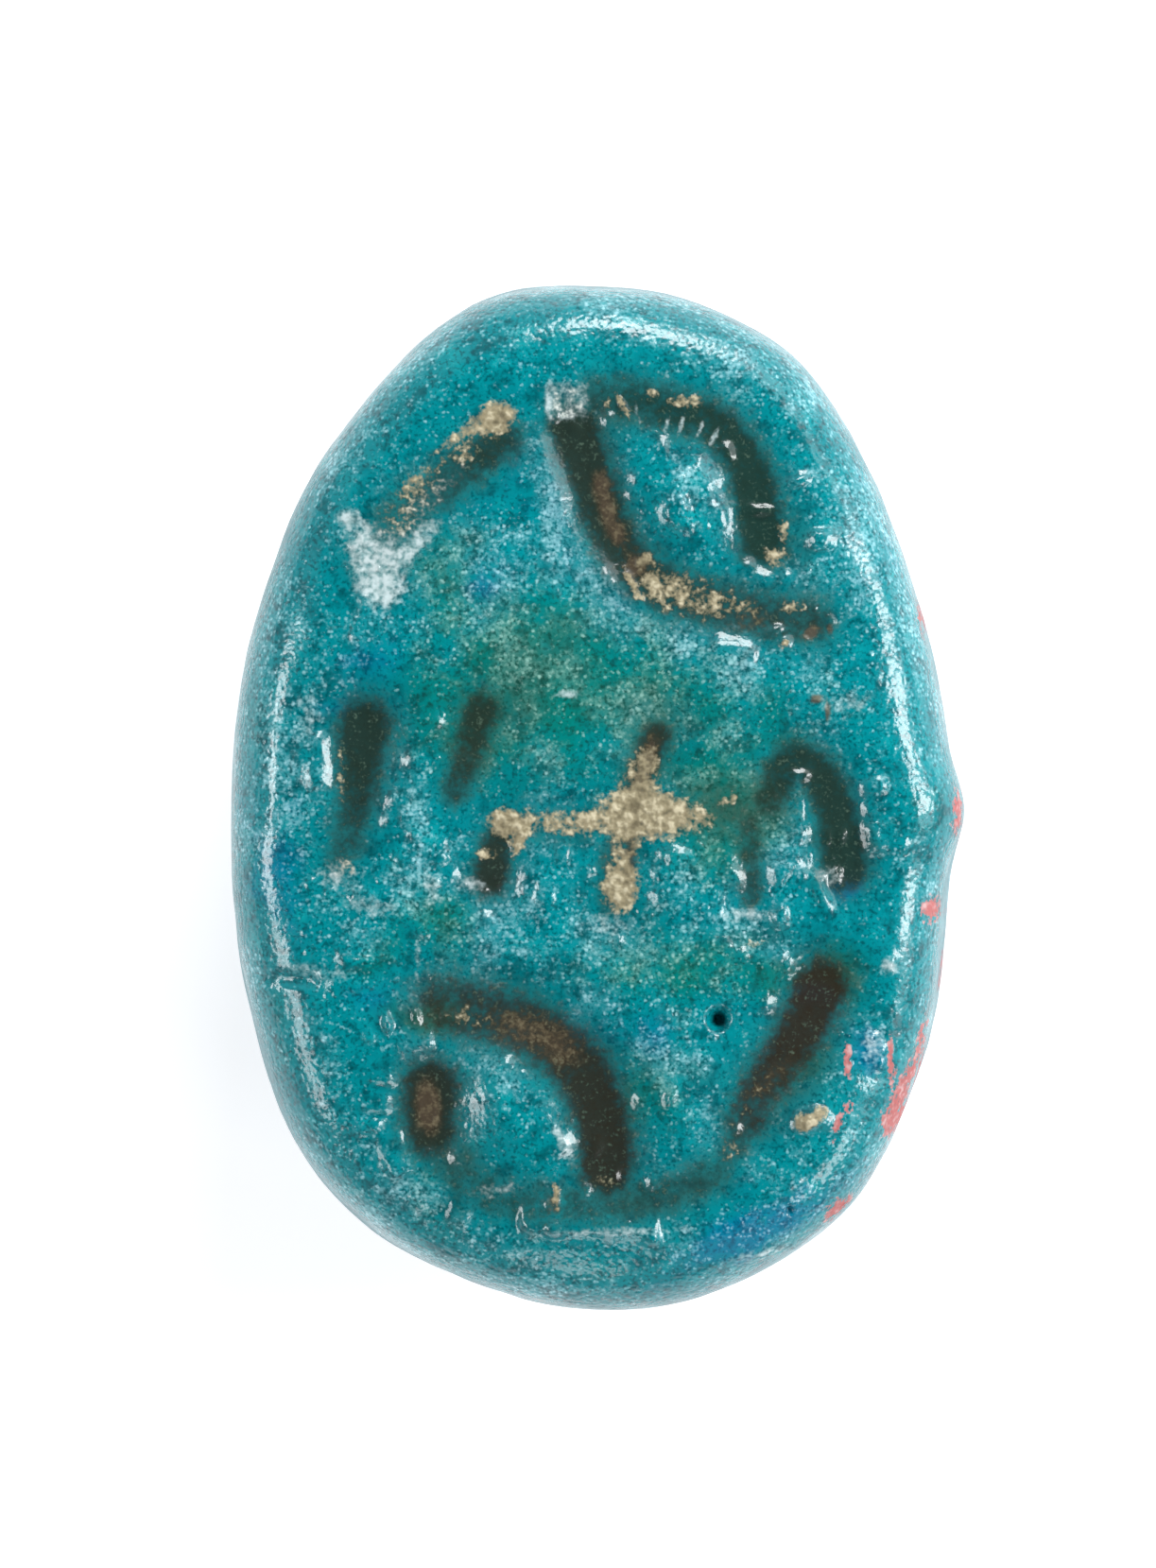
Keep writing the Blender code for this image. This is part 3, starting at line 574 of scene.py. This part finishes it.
def flawField(x, y):
    # Soft ovals of depth D e^-q^3, q the distance in half sizes, less a raised ring round the drilled dot.
    total = np.zeros(x.shape)
    for px, py, halfAlong, halfAcross, turn, depth in flaws["relief"]:
        c, s = math.cos(math.radians(turn)), math.sin(math.radians(turn))
        u, v = (x - px) * c + (y - py) * s, (y - py) * c - (x - px) * s
        total += depth * np.exp(-(((u / halfAlong) ** 2 + (v / halfAcross) ** 2) ** 1.5))
    ring = flaws["dotRing"]
    away = np.hypot(x - ring["x"], y - ring["y"]) - ring["radius"]
    return total - ring["height"] * np.exp(-((away / ring["width"]) ** 2))


dressing = {  # millimetres
    # deepest: depth of carving at which the painted shade in the dips is full
    "deepest": 0.26, "siltThickness": 0.05,
    "lumps": ((0.36, 0.022), (0.19, 0.010)),  # size and height of the lumps where the glaze has boiled
    "faceBegins": 1.2, "faceFull": 0.5,  # above the widest level, and below the top
    "holeMargin": 0.01, "holeWaves": 0.5,  # round the mouth, and how much of the hand's waves is left in it
    # clouds in the colour: size in millimetres and strength
    "mottle": ((1.7, 0.5), (0.6, 0.7), (0.3, 0.6)), "hue": ((1.1, 1.0), (0.4, 0.6)),
    # heights above the table between which the pebbled skin gets smoother, and how much smoother it gets
    "smoothLevels": (5.0, 5.85), "smoothing": 0.75,
    "rimLevels": (3.6, 5.6), "rimUnevenness": 0.5,  # between which the worn sides, greyed by a painted reflection of the white surroundings, turn into the clean face
    # paint: breaks in it, heights where it begins and where nothing of it is worn off
    "breaks": ((0.55, 1.0), (0.2, 0.5)), "breakLevels": (-0.35, 0.25),
    "paintBegins": (2.7, 3.4), "paintWhole": (4.6, 5.2),
}


def dressedPebble():
    # The pebble's grid pushed out along its normals by the hand's waves, rolls and drops, and in by the
    # carving and flaws. With it come the fields that colour it: mottle and hue vary about 0, and the others
    # go from 0 to about 1.
    grid = pebbleGrid()
    x, y, z = np.moveaxis(grid, -1, 0)
    onFace = fade(z, seal["widestLevel"] + dressing["faceBegins"], seal["height"] - dressing["faceFull"])
    mouth = seal["holeDiameter"] / 2 + seal["holeRounding"] + dressing["holeMargin"]
    hole = np.hypot(x - sideShift, z - seal["widestLevel"]) < mouth
    deep, dark, brown = carve(x, y)
    silt, boiled = patchField(x, y, "silt"), patchField(x, y, "sparkle")
    lumps = boiled * layeredNoise(grid, dressing["lumps"], 41)
    waves = layeredNoise(grid, seal["waviness"], 3) * np.where(hole, dressing["holeWaves"], 1)
    relief = raisedGlaze(x, y) - deep - flawField(x, y) + silt * dressing["siltThickness"] + lumps
    shaped = grid + gridNormals(grid) * (waves + onFace * relief)[..., None]
    shaped[..., 2] = np.clip(shaped[..., 2], 0, None)
    resting = z <= 0
    shaped[resting] = grid[resting]

    mottle = layeredNoise(grid, dressing["mottle"], 21)
    fields = {
        "dark": dark * onFace, "brown": brown, "silt": silt * onFace, "sparkle": boiled * onFace,
        # dip: the carving's depth as a share of the deepest; it darkens the colour as painted shade in the
        # dips
        "dip": np.minimum(deep / dressing["deepest"], 1) * onFace, "hole": hole.astype(float),
        "mottle": mottle, "hue": layeredNoise(grid, dressing["hue"], 31),
        "pebbling": 1 - dressing["smoothing"] * fade(z, *dressing["smoothLevels"]),
        # painted reflection: this field greys the lower sides as if they mirrored the white surroundings, and
        # it also roughens them as worn
        "wornSidesAndReflection": 1 - fade(z + dressing["rimUnevenness"] * mottle, *dressing["rimLevels"]),
    }
    for kind in ("rust", "frostAndHighlight", "milkAndSheen", "green", "murk", "blue", "clear", "cyan"):
        fields[kind] = patchField(x, y, kind) * onFace
    unbroken = fade(layeredNoise(grid, dressing["breaks"], 61), *dressing["breakLevels"])
    left = np.maximum(unbroken, fade(z, *dressing["paintWhole"]))
    fields["red"] = patchField(x, y, "red") * fade(z, *dressing["paintBegins"]) * left
    return shaped, fields


def addSurface(name, grid, fields, material):
    # A closed net of four-sided faces over the grid, joined to itself both ways, in metres.
    rows, columns = grid.shape[:2]
    index = np.arange(rows * columns).reshape(rows, columns)
    right, up = np.roll(index, -1, 1), np.roll(index, -1, 0)
    corners = np.stack((index, right, np.roll(up, -1, 1), up), -1).reshape(-1, 4)
    mesh = bpy.data.meshes.new(name)
    mesh.vertices.add(rows * columns)
    mesh.vertices.foreach_set("co", (grid * mm).astype(np.float32).ravel())
    mesh.loops.add(corners.size)
    mesh.loops.foreach_set("vertex_index", corners.astype(np.int32).ravel())
    mesh.polygons.add(len(corners))
    mesh.polygons.foreach_set("loop_start", np.arange(0, corners.size, 4, dtype=np.int32))
    mesh.update(calc_edges=True)
    for field, values in fields.items():
        attribute = mesh.attributes.new(field, "FLOAT", "POINT")
        attribute.data.foreach_set("value", values.astype(np.float32).ravel())
    mesh.shade_smooth()
    mesh.materials.append(material)
    piece = bpy.data.objects.new(name, mesh)
    bpy.context.scene.collection.objects.link(piece)
    return piece


# Materials

def linear(code, alpha=1.0):
    # sRGB hex to linear light.
    parts = [int(code[i:i + 2], 16) / 255 for i in (1, 3, 5)]
    return (*[c / 12.92 if c <= 0.04045 else ((c + 0.055) / 1.055) ** 2.4 for c in parts], alpha)


def addNode(tree, kind, links=None, **settings):
    # Adds a node, sets its own settings, and gives its sockets a value or the output that feeds them.
    node = tree.nodes.new("ShaderNode" + kind)
    for name, value in settings.items():
        setattr(node, name, value)
    for socket, value in (links or {}).items():
        if isinstance(value, bpy.types.NodeSocket):
            tree.links.new(value, node.inputs[socket])
        else:
            node.inputs[socket].default_value = value
    return node


glaze = {
    # vivid and milky glaze, and its dark and pale grains, for its three hues; the dark grains' colour also
    # paints the shade in the dips
    "turquoise": ("#00838c", "#358e97", "#00474f", "#a2d8e2"),
    "green": ("#00746c", "#40857b", "#0e4138", "#93c4b8"),
    "blue": ("#007997", "#3789a3", "#004866", "#9ccee2"),
    "colours": {
        "murk": "#35574b", "paintedReflectionGrey": "#43646f", "cyan": "#0a999f", "core": "#b7ab90",
        "poolGreen": "#1a322a", "poolBrown": "#2c2318", "poolEdge": "#32493b", "poolGrain": "#5a6f5e",
        "silt": "#c2b99c", "siltMid": "#8b8265", "siltDark": "#625a42", "rust": "#433728",
        "rustPale": "#6b6049", "frostAndHighlight": "#cbdbdd", "frostAndHighlightDim": "#75999a", "red": "#b25b58",
        "redPale": "#c79d9c",
    },
    "roughness": 0.15, "mattRoughness": 0.7, "wornRoughness": 0.25, "ior": 1.52,
    # noises: size in millimetres, detail and roughness. The grains are drawn at 0.045 to 0.1, about their
    # real size of 0.04 to 0.08, and the tone is the drift of colour from one clump of them to the next.
    "noises": {"grain": (0.045, 1.0, 0.5), "crumb": (0.10, 1.0, 0.5), "fraying": (0.14, 2.0, 0.6),
               "tone": (0.30, 3.0, 0.6)},
    # what has a frayed edge: its field, the levels where it starts and is full, and how ragged it is
    "frayed": {"pool": ("dark", 0.08, 0.85, 0.6), "rustEarth": ("rust", 0.10, 0.80, 0.35),
               "siltEarth": ("silt", 0.25, 0.72, 1.0), "frostingAndHighlight": ("frostAndHighlight", 0.12, 0.95, 0.75),
               "paint": ("red", 0.30, 0.75, 2.2)},
    "fraysFrom": (0.02, 0.30),  # levels of a field between which its edge starts to fray
    # quartz grains: spacing in millimetres, edge and full core as shares of it, and how many are pale
    "quartzSpacing": 0.062, "quartzEdge": (0.75, 0.15), "quartzShare": (0.15, 0.95),
    # relief of the skin, in millimetres
    "peelSpacing": 0.075, "dropSpacing": 0.24, "dropRadius": 0.06,
    "peelHeight": 0.024, "dropHeight": 0.026, "grainHeight": 0.0005, "frayingHeight": 0.0015,
    "siltHeight": 0.01,
}


def glazedFaience(fields):
    # Alkaline copper glaze on crushed quartz: deep turquoise under a veil of pale quartz grains, pooled dark
    # in the carving, with painted shade in the dips, a painted grey reflection on the lower sides and some
    # painted highlights and sheen. The glossy skin is pebbled like orange peel, which breaks the highlights
    # into sparks.
    material = bpy.data.materials.new("turquoiseGlazedFaience")
    material.use_nodes = True
    tree = material.node_tree
    shader = tree.nodes["Principled BSDF"]
    place = addNode(tree, "TexCoord").outputs["Object"]
    inMm = addNode(tree, "VectorMath", {0: place, "Scale": 1 / mm}, operation="SCALE").outputs[0]

    amounts = {name: addNode(tree, "Attribute", attribute_name=name).outputs["Fac"] for name in fields}
    for name, (size, detail, rough) in glaze["noises"].items():  # 4 x noise - 2: about 0, mostly from -1 to 1
        noise = addNode(tree, "TexNoise", {"Vector": inMm, "Scale": 1 / size, "Detail": detail,
                                           "Roughness": rough}).outputs["Fac"]
        amounts[name] = addNode(tree, "Math", {0: noise, 1: 4.0, 2: -2.0},
                                operation="MULTIPLY_ADD").outputs[0]

    def weighed(terms):
        # Sum of each amount times its weight, which is a number or another amount.
        result = 0.0
        for name, weight in terms.items():
            result = addNode(tree, "Math", {0: amounts[name], 1: weight, 2: result},
                             operation="MULTIPLY_ADD").outputs[0]
        return result

    def shown(terms, start, end, low=0.0, high=1.0):
        # S curve from low, where the weighed sum is at start, to high, where it is at end.
        return addNode(tree, "MapRange", {"Value": weighed(terms), "From Min": start, "From Max": end,
                                          "To Min": low, "To Max": high},
                       interpolation_type="SMOOTHSTEP").outputs[0]

    def layered(colour, *layers):
        # Layers from the lowest up, each (colour, share): colour x (1 - share) + layer x share.
        for layer, share in layers:
            colour = addNode(tree, "Mix", {0: share, 6: colour, 7: layer}, data_type="RGBA").outputs[2]
        return colour

    # round quartz grains, one to a cell, some pale and some clear
    cell = addNode(tree, "TexVoronoi", {"Vector": inMm, "Scale": 1 / glaze["quartzSpacing"]})
    amounts["fromGrain"], amounts["chance"] = cell.outputs["Distance"], cell.outputs["Color"]
    amounts["quartz"] = shown({"fromGrain": 1.0}, *glaze["quartzEdge"])
    amounts["quartz"] = weighed({"quartz": shown({"chance": 1.0}, *glaze["quartzShare"])})

    # pooled glaze and deposits, cut off between two levels, with their edges frayed grain by grain
    amounts["fray"] = weighed({"grain": 0.14, "fraying": 0.26, "crumb": 0.16})
    for name, (kind, start, end, raggedness) in glaze["frayed"].items():
        present = shown({kind: 1.0}, *glaze["fraysFrom"], 0.0, raggedness)
        amounts[name] = shown({"fray": present, kind: 1.0}, start, end)

    # glaze body and grains, each mixed from the three hues
    greenness = shown({"green": 1.0, "hue": 0.30, "fraying": 0.12}, 0.1, 0.9)
    blueness = shown({"blue": 1.0, "hue": -0.35, "fraying": 0.15}, 0.2, 0.95)
    vivid, milky, darkGrainAndShade, paleGrain = [
        layered(linear(plain), (linear(green), greenness), (linear(blue), blueness))
        for plain, green, blue in zip(glaze["turquoise"], glaze["green"], glaze["blue"])]

    tint = {name: linear(code) for name, code in glaze["colours"].items()}
    poolColour = layered(
        tint["poolGreen"], (tint["poolBrown"], amounts["brown"]),
        (tint["poolEdge"], shown({"pool": 1.0}, 0.80, 0.25)),
        (tint["poolGrain"], shown({"grain": 0.6, "fraying": 0.5}, 0.2, 1.0, 0.0, 0.55)))
    rustColour = layered(
        tint["rust"], (tint["rustPale"], shown({"grain": 0.4, "fraying": 0.5, "crumb": 0.3}, -0.3, 0.7)))
    siltTone = {"crumb": 0.50, "grain": 0.12, "silt": 0.50, "fraying": 0.45, "rust": -0.9}
    siltPale = layered(tint["siltMid"], (tint["silt"], shown(siltTone, 0.25, 1.0)))
    siltColour = layered(tint["siltDark"], (siltPale, shown(siltTone, -0.4, 0.35)))
    # whitish frost colour, which also paints a highlight along the lower ring's bottom lip
    frostAndHighlightColour = layered(
        tint["frostAndHighlightDim"],
        (tint["frostAndHighlight"], shown({"crumb": 0.6, "grain": 0.2, "fraying": 0.3, "frostAndHighlight": 0.4}, -0.5, 0.8)))
    paintColour = layered(tint["red"], (tint["redPale"], shown({"crumb": 0.6, "fraying": 0.6}, 0.0, 1.0)))

    colour = layered(
        vivid,
        # milky glaze, including the painted sheen on the crest beside the upper ring, on the top rim and on
        # the ring's dome
        (milky, shown({"mottle": 1.0, "fraying": 0.6, "milkAndSheen": 1.0, "green": 0.45, "clear": -0.8}, -0.2, 1.2)),
        (tint["cyan"], shown({"tone": 1.0, "cyan": 0.7, "green": -0.4}, 0.15, 1.2, 0.0, 0.85)),
        (tint["murk"], weighed({"murk": 0.8})),
        (darkGrainAndShade, shown({"tone": 1.0, "crumb": 0.25}, 0.1, -0.9, 0.0, 0.7)),
        (darkGrainAndShade, shown({"grain": 0.8, "crumb": 0.4}, 0.1, -0.9, 0.0, 0.75)),
        (paleGrain, shown({"quartz": 0.8, "grain": 0.35, "fraying": 0.4, "crumb": 0.15, "milkAndSheen": 0.4,
                           "mottle": 0.35, "wornSidesAndReflection": 0.15, "clear": -0.2, "dark": -0.6}, 0.12, 1.50, 0.0, 0.90)),
        # painted shade: darker where the carving dips deeper, as shade falls in its hollows
        (darkGrainAndShade, weighed({"dip": 0.55})),
        # painted reflection: grey on the lower sides, standing in for the white surroundings mirrored at a
        # grazing angle
        (tint["paintedReflectionGrey"], weighed({"wornSidesAndReflection": 0.50})),
        (poolColour, weighed({"pool": 0.94})),
        (rustColour, weighed({"rustEarth": 0.85})),
        (siltColour, amounts["siltEarth"]),
        (frostAndHighlightColour, weighed({"frostingAndHighlight": 0.85})),
        (paintColour, weighed({"paint": 0.9})),
        (tint["core"], amounts["hole"]))
    tree.links.new(colour, shader.inputs["Base Color"])

    # gloss: glassy glaze, duller where the sides are worn, matt earth, paint and core
    amounts["matt"] = 0.0
    for name, share in (("siltEarth", 1.0), ("rustEarth", 0.5), ("paint", 1.0), ("hole", 1.0)):
        amounts["matt"] = addNode(tree, "Math", {0: weighed({name: share}), 1: amounts["matt"]},
                                  operation="MAXIMUM").outputs[0]
    amounts["skin"] = shown({"matt": 1.0}, 0.0, 1.0, glaze["roughness"], glaze["mattRoughness"])
    roughness = weighed({"wornSidesAndReflection": glaze["wornRoughness"], "skin": 1.0})
    tree.links.new(roughness, shader.inputs["Roughness"])
    shader.inputs["IOR"].default_value = glaze["ior"]
    shader.inputs["Metallic"].default_value = 0.0

    # relief of the skin: dimples like orange peel, small drops where the glaze has boiled, crumbly earth
    peel = addNode(tree, "TexVoronoi", {"Vector": inMm, "Scale": 1 / glaze["peelSpacing"]},
                   feature="SMOOTH_F1")
    amounts["peel"] = peel.outputs["Distance"]
    amounts["peel"] = weighed({"peel": amounts["peel"]})
    amounts["peel"] = weighed({"peel": amounts["pebbling"]})
    drop = addNode(tree, "TexVoronoi", {"Vector": inMm, "Scale": 1 / glaze["dropSpacing"]})
    amounts["drop"] = drop.outputs["Distance"]
    amounts["drop"] = shown({"drop": 1.0}, glaze["dropRadius"] / glaze["dropSpacing"], 0.0)
    amounts["drop"] = weighed({"drop": amounts["sparkle"]})
    amounts["earth"] = weighed({"siltEarth": amounts["crumb"]})
    height = weighed({"peel": -glaze["peelHeight"], "drop": glaze["dropHeight"], "earth": glaze["siltHeight"],
                      "grain": glaze["grainHeight"], "fraying": glaze["frayingHeight"]})
    bump = addNode(tree, "Bump", {"Height": height, "Distance": mm, "Strength": 1.0})
    tree.links.new(bump.outputs[0], shader.inputs["Normal"])
    return material


shape, fields = dressedPebble()
sealPiece = addSurface("stampSeal", shape, fields, glazedFaience(fields))
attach(sealPiece, "root")
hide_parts("stamp_seal")
print("seal made:", len(sealPiece.data.polygons) * 2, "triangles")


# Table, light and camera

studio = {
    "tableSize": 900, "tableColour": "#d8d8da", "tableGlow": 0.8,
    # lights: direction and rise in degrees, distance, width and length in millimetres, radiance
    "strips": {
        "stripRight": (8, 29, 130, 64, 120, 2.0), "stripTop": (62, 27, 130, 74, 96, 2.2),
        "sparkRight": (6, 34, 130, 44, 50, 13.0), "sparkTop": (80, 34, 130, 42, 44, 13.0),
        "sparkLeft": (178, 34, 130, 36, 40, 11.0), "sparkLowLeft": (203, 34, 130, 28, 50, 7.0),
        "sparkBottom": (262, 34, 130, 26, 40, 4.0), "sparkLowRight": (318, 34, 130, 28, 40, 8.0),
    },
    "skyLow": 0.42, "skyTop": 0.02, "skyFades": (0.50, 0.85),  # strengths, and sines of the rise between them
    "lens": 1000, "sensor": 36, "frameHeight": 21.446, "frameMiddle": (-0.252, 0.207),  # millimetres
}


def paleTable():
    # A white acrylic light table: matt, evenly bright, glowing a little from below.
    half = studio["tableSize"] / 2 * mm
    mesh = bpy.data.meshes.new("table")
    corners = [(-half, -half, 0), (half, -half, 0), (half, half, 0), (-half, half, 0)]
    mesh.from_pydata(corners, [], [(0, 1, 2, 3)])
    material = bpy.data.materials.new("whiteAcrylic")
    material.use_nodes = True
    shader = material.node_tree.nodes["Principled BSDF"]
    shader.inputs["Base Color"].default_value = linear(studio["tableColour"])
    shader.inputs["Roughness"].default_value = 1.0
    shader.inputs["Specular IOR Level"].default_value = 0.0
    shader.inputs["Emission Color"].default_value = linear(studio["tableColour"])
    shader.inputs["Emission Strength"].default_value = studio["tableGlow"]
    mesh.materials.append(material)
    table = bpy.data.objects.new("table", mesh)
    bpy.context.scene.collection.objects.link(table)


def addStrip(name, azimuth, rise, reach, width, length, radiance):
    # A strip light facing the seal. Power = radiance x pi x area.
    light = bpy.data.lights.new(name, "AREA")
    light.shape = "RECTANGLE"
    light.size, light.size_y = width * mm, length * mm
    light.energy = radiance * math.pi * width * length * mm ** 2
    lamp = bpy.data.objects.new(name, light)
    rise, turn = math.radians(rise), math.radians(azimuth)
    level = reach * mm * math.cos(rise)
    lamp.location = (level * math.cos(turn), level * math.sin(turn), reach * mm * math.sin(rise))
    lamp.rotation_euler = (0, math.pi / 2 - rise, turn)
    lamp.visible_camera = False
    bpy.context.scene.collection.objects.link(lamp)


def softSky():
    # White near the horizon, dim overhead, so that the level face doesn't mirror a white ceiling.
    world = bpy.data.worlds.new("softSky")
    bpy.context.scene.world = world
    world.use_nodes = True
    tree = world.node_tree
    direction = addNode(tree, "TexCoord").outputs["Generated"]
    rise = addNode(tree, "SeparateXYZ", {0: direction}).outputs["Z"]
    low, high = studio["skyFades"]
    strength = addNode(tree, "MapRange", {"Value": rise, "From Min": low, "From Max": high,
                                          "To Min": studio["skyLow"], "To Max": studio["skyTop"]},
                       interpolation_type="SMOOTHSTEP").outputs[0]
    tree.links.new(strength, tree.nodes["Background"].inputs["Strength"])
    tree.nodes["Background"].inputs["Color"].default_value = (1, 1, 1, 1)


paleTable()
softSky()
for name, strip in studio["strips"].items():
    addStrip(name, *strip)

camera = bpy.data.objects.new("camera", bpy.data.cameras.new("camera"))
camera.data.lens, camera.data.sensor_width = studio["lens"], studio["sensor"]
camera.data.clip_start = 0.01
cameraReach = studio["frameHeight"] * studio["lens"] / studio["sensor"] + seal["widestLevel"]
camera.location = (studio["frameMiddle"][0] * mm, studio["frameMiddle"][1] * mm, cameraReach * mm)
bpy.context.scene.collection.objects.link(camera)
bpy.context.scene.camera = camera
bpy.context.scene.view_settings.view_transform = "Standard"
print("studio set up")
